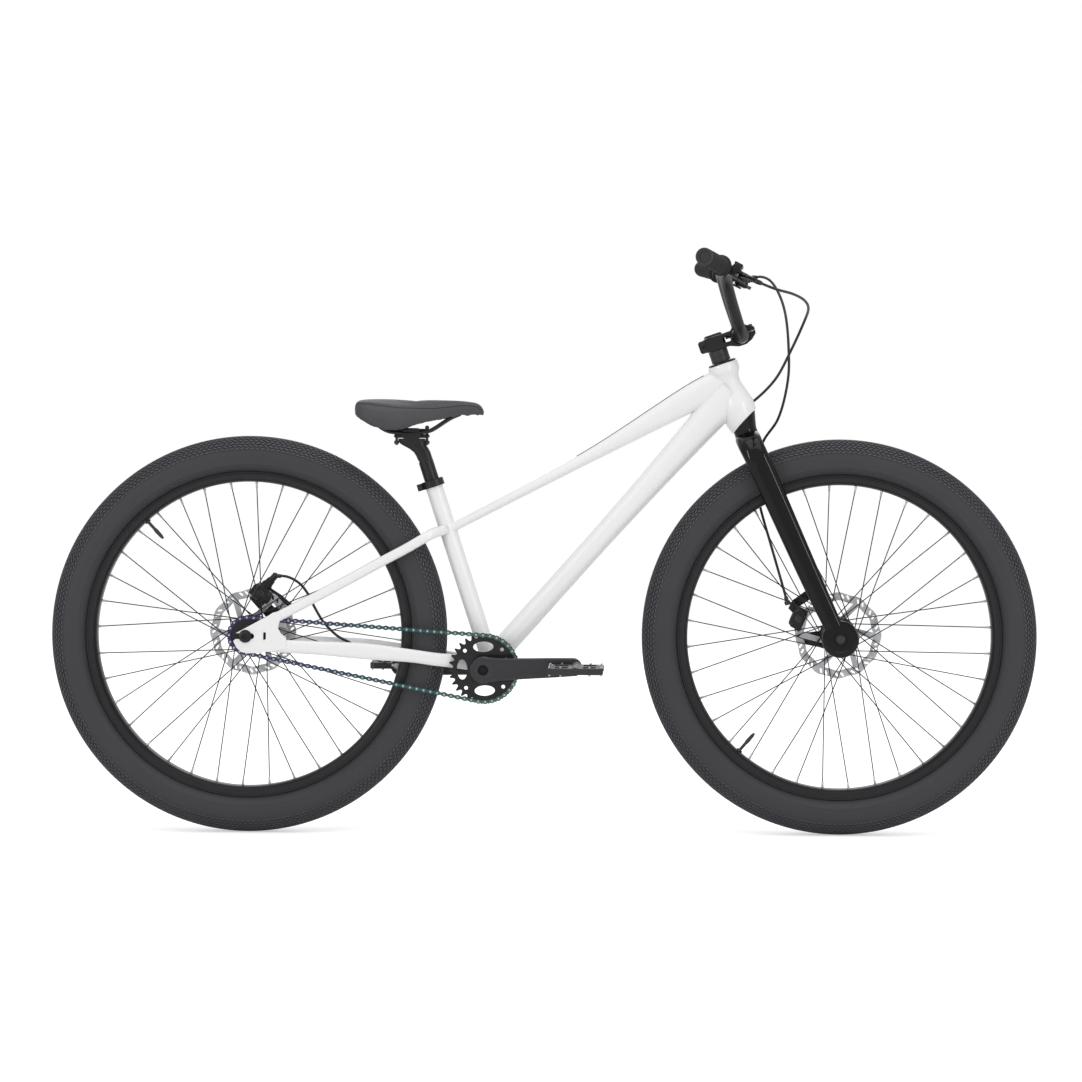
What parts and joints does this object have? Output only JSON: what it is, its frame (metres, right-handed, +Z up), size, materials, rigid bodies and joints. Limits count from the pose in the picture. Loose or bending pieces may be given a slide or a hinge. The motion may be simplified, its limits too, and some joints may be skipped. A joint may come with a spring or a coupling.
{
  "type": "dirt jump bike",
  "caption": "Hardtail dirt jump bike with a low sloping frame, rigid fork, high-rise handlebar, single-speed chain drive, wide tyres and disc brakes, for jumps, pump tracks and street riding.",
  "frame": {"origin": "on the ground under the middle of the bike, halfway between the tyres' outer ends", "axes": "+X forwards along the bike, +Y to the rider's left, +Z up; the drive side faces -Y"},
  "size_m": [1.8016, 0.7734, 1.064],
  "materials": {
    "frame_white": "gloss",
    "fork_black": "gloss",
    "parts_black": "satin black anodised",
    "tyre_rubber": "matt",
    "grip_rubber": "matt",
    "hose_black": "satin",
    "steel": "satin",
    "spoke_black": "satin",
    "chain_oil_slick": "polished, tinted blue to green",
    "saddle_plastic": "satin",
    "saddle_cover": "matt"
  },
  "bodies": {
    "frame": {"head_tube": "frame_white", "seat_tube": "frame_white", "top_tube": "frame_white", "down_tube": "frame_white", "bottom_bracket_shell": "frame_white", "bottom_bracket": "parts_black", "dropout_right": "frame_white", "dropout_left": "frame_white", "seatstay_right": "frame_white", "seatstay_left": "frame_white", "chainstay_right": "frame_white", "chainstay_left": "frame_white", "rear_brake_hose": "hose_black", "headset_upper": "parts_black", "headset_lower": "steel", "seat_clamp": "parts_black", "rear_axle": "parts_black", "rear_caliper": "parts_black", "chain": "chain_oil_slick"},
    "seat": {"seatpost": "parts_black", "saddle_clamp": "parts_black", "saddle_base": "saddle_plastic", "saddle_cushion": "saddle_cover"},
    "steering": {"fork": "fork_black", "front_axle": "parts_black", "headset_spacer": "parts_black", "top_cap": "parts_black", "stem": "parts_black", "stem_bar_cap": "parts_black", "handlebar": "parts_black", "grip_right": "grip_rubber", "grip_left": "grip_rubber", "brake_lever_body_right": "parts_black", "brake_lever_body_left": "parts_black", "front_brake_hose": "hose_black", "front_caliper": "parts_black"},
    "lever_right": {"brake_lever_blade_right": "parts_black"},
    "lever_left": {"brake_lever_blade_left": "parts_black"},
    "front_wheel": {"front_tyre": "tyre_rubber", "front_inner_tube": "grip_rubber", "front_rim": "parts_black", "front_spokes_left": "spoke_black", "front_spokes_right": "spoke_black", "front_hub": "parts_black", "front_rotor": "steel"},
    "rear_wheel": {"rear_tyre": "tyre_rubber", "rear_inner_tube": "grip_rubber", "rear_rim": "parts_black", "rear_spokes_left": "spoke_black", "rear_spokes_right": "spoke_black", "rear_hub": "parts_black", "rear_rotor": "steel"},
    "cog": {"rear_cog": "steel", "rear_driver": "parts_black"},
    "crank": {"crank_arm_right": "parts_black", "crank_arm_left": "parts_black", "chainring": "parts_black"},
    "pedal_right_body": {"pedal_right": "parts_black"},
    "pedal_left_body": {"pedal_left": "parts_black"}
  },
  "joints": [
    {"name": "steer", "type": "hinge", "parent": "frame", "child": "steering", "pos_m": [0.32392, 0, 0.8633], "axis": [-0.3305, 0, 0.9438], "range_deg": [-75, 75], "deforming": ["rear_brake_hose"]},
    {"name": "front_wheel_spin", "type": "hinge", "parent": "steering", "child": "front_wheel", "pos_m": [0.5415, 0, 0.363], "axis": [0, 1, 0], "continuous": true},
    {"name": "rear_wheel_spin", "type": "hinge", "parent": "frame", "child": "rear_wheel", "pos_m": [-0.5415, 0, 0.363], "axis": [0, 1, 0], "continuous": true},
    {"name": "crank_spin", "type": "hinge", "parent": "frame", "child": "crank", "pos_m": [-0.10823, 0, 0.3045], "axis": [0, 1, 0], "continuous": true},
    {"name": "rear_cog_spin", "type": "hinge", "parent": "frame", "child": "cog", "pos_m": [-0.5415, -0.047, 0.363], "axis": [0, 1, 0], "continuous": true},
    {"name": "pedal_right_spin", "type": "hinge", "parent": "crank", "child": "pedal_right_body", "pos_m": [0.06164, -0.13, 0.31103], "axis": [0, 1, 0], "continuous": true},
    {"name": "pedal_left_spin", "type": "hinge", "parent": "crank", "child": "pedal_left_body", "pos_m": [-0.27811, 0.13, 0.29797], "axis": [0, 1, 0], "continuous": true},
    {"name": "brake_pull_right", "type": "hinge", "parent": "steering", "child": "lever_right", "pos_m": [0.35566, -0.22417, 1.0163], "axis": [-0.4682, -0.0723, -0.8806], "range_deg": [0, 20], "stiffness_Nm_per_rad": 0.8, "springref_deg": -11.46},
    {"name": "brake_pull_left", "type": "hinge", "parent": "steering", "child": "lever_left", "pos_m": [0.35566, 0.22417, 1.0163], "axis": [0.4682, -0.0723, 0.8806], "range_deg": [0, 20], "stiffness_Nm_per_rad": 0.8, "springref_deg": -11.46},
    {"name": "seat_height", "type": "slide", "parent": "frame", "child": "seat", "axis": [-0.3135, 0, 0.9496], "range_m": [-0.03, 0.05]}
  ],
  "couplings": [
    {"joint": "rear_cog_spin", "follows": "crank_spin", "ratio": 1.875}
  ]
}
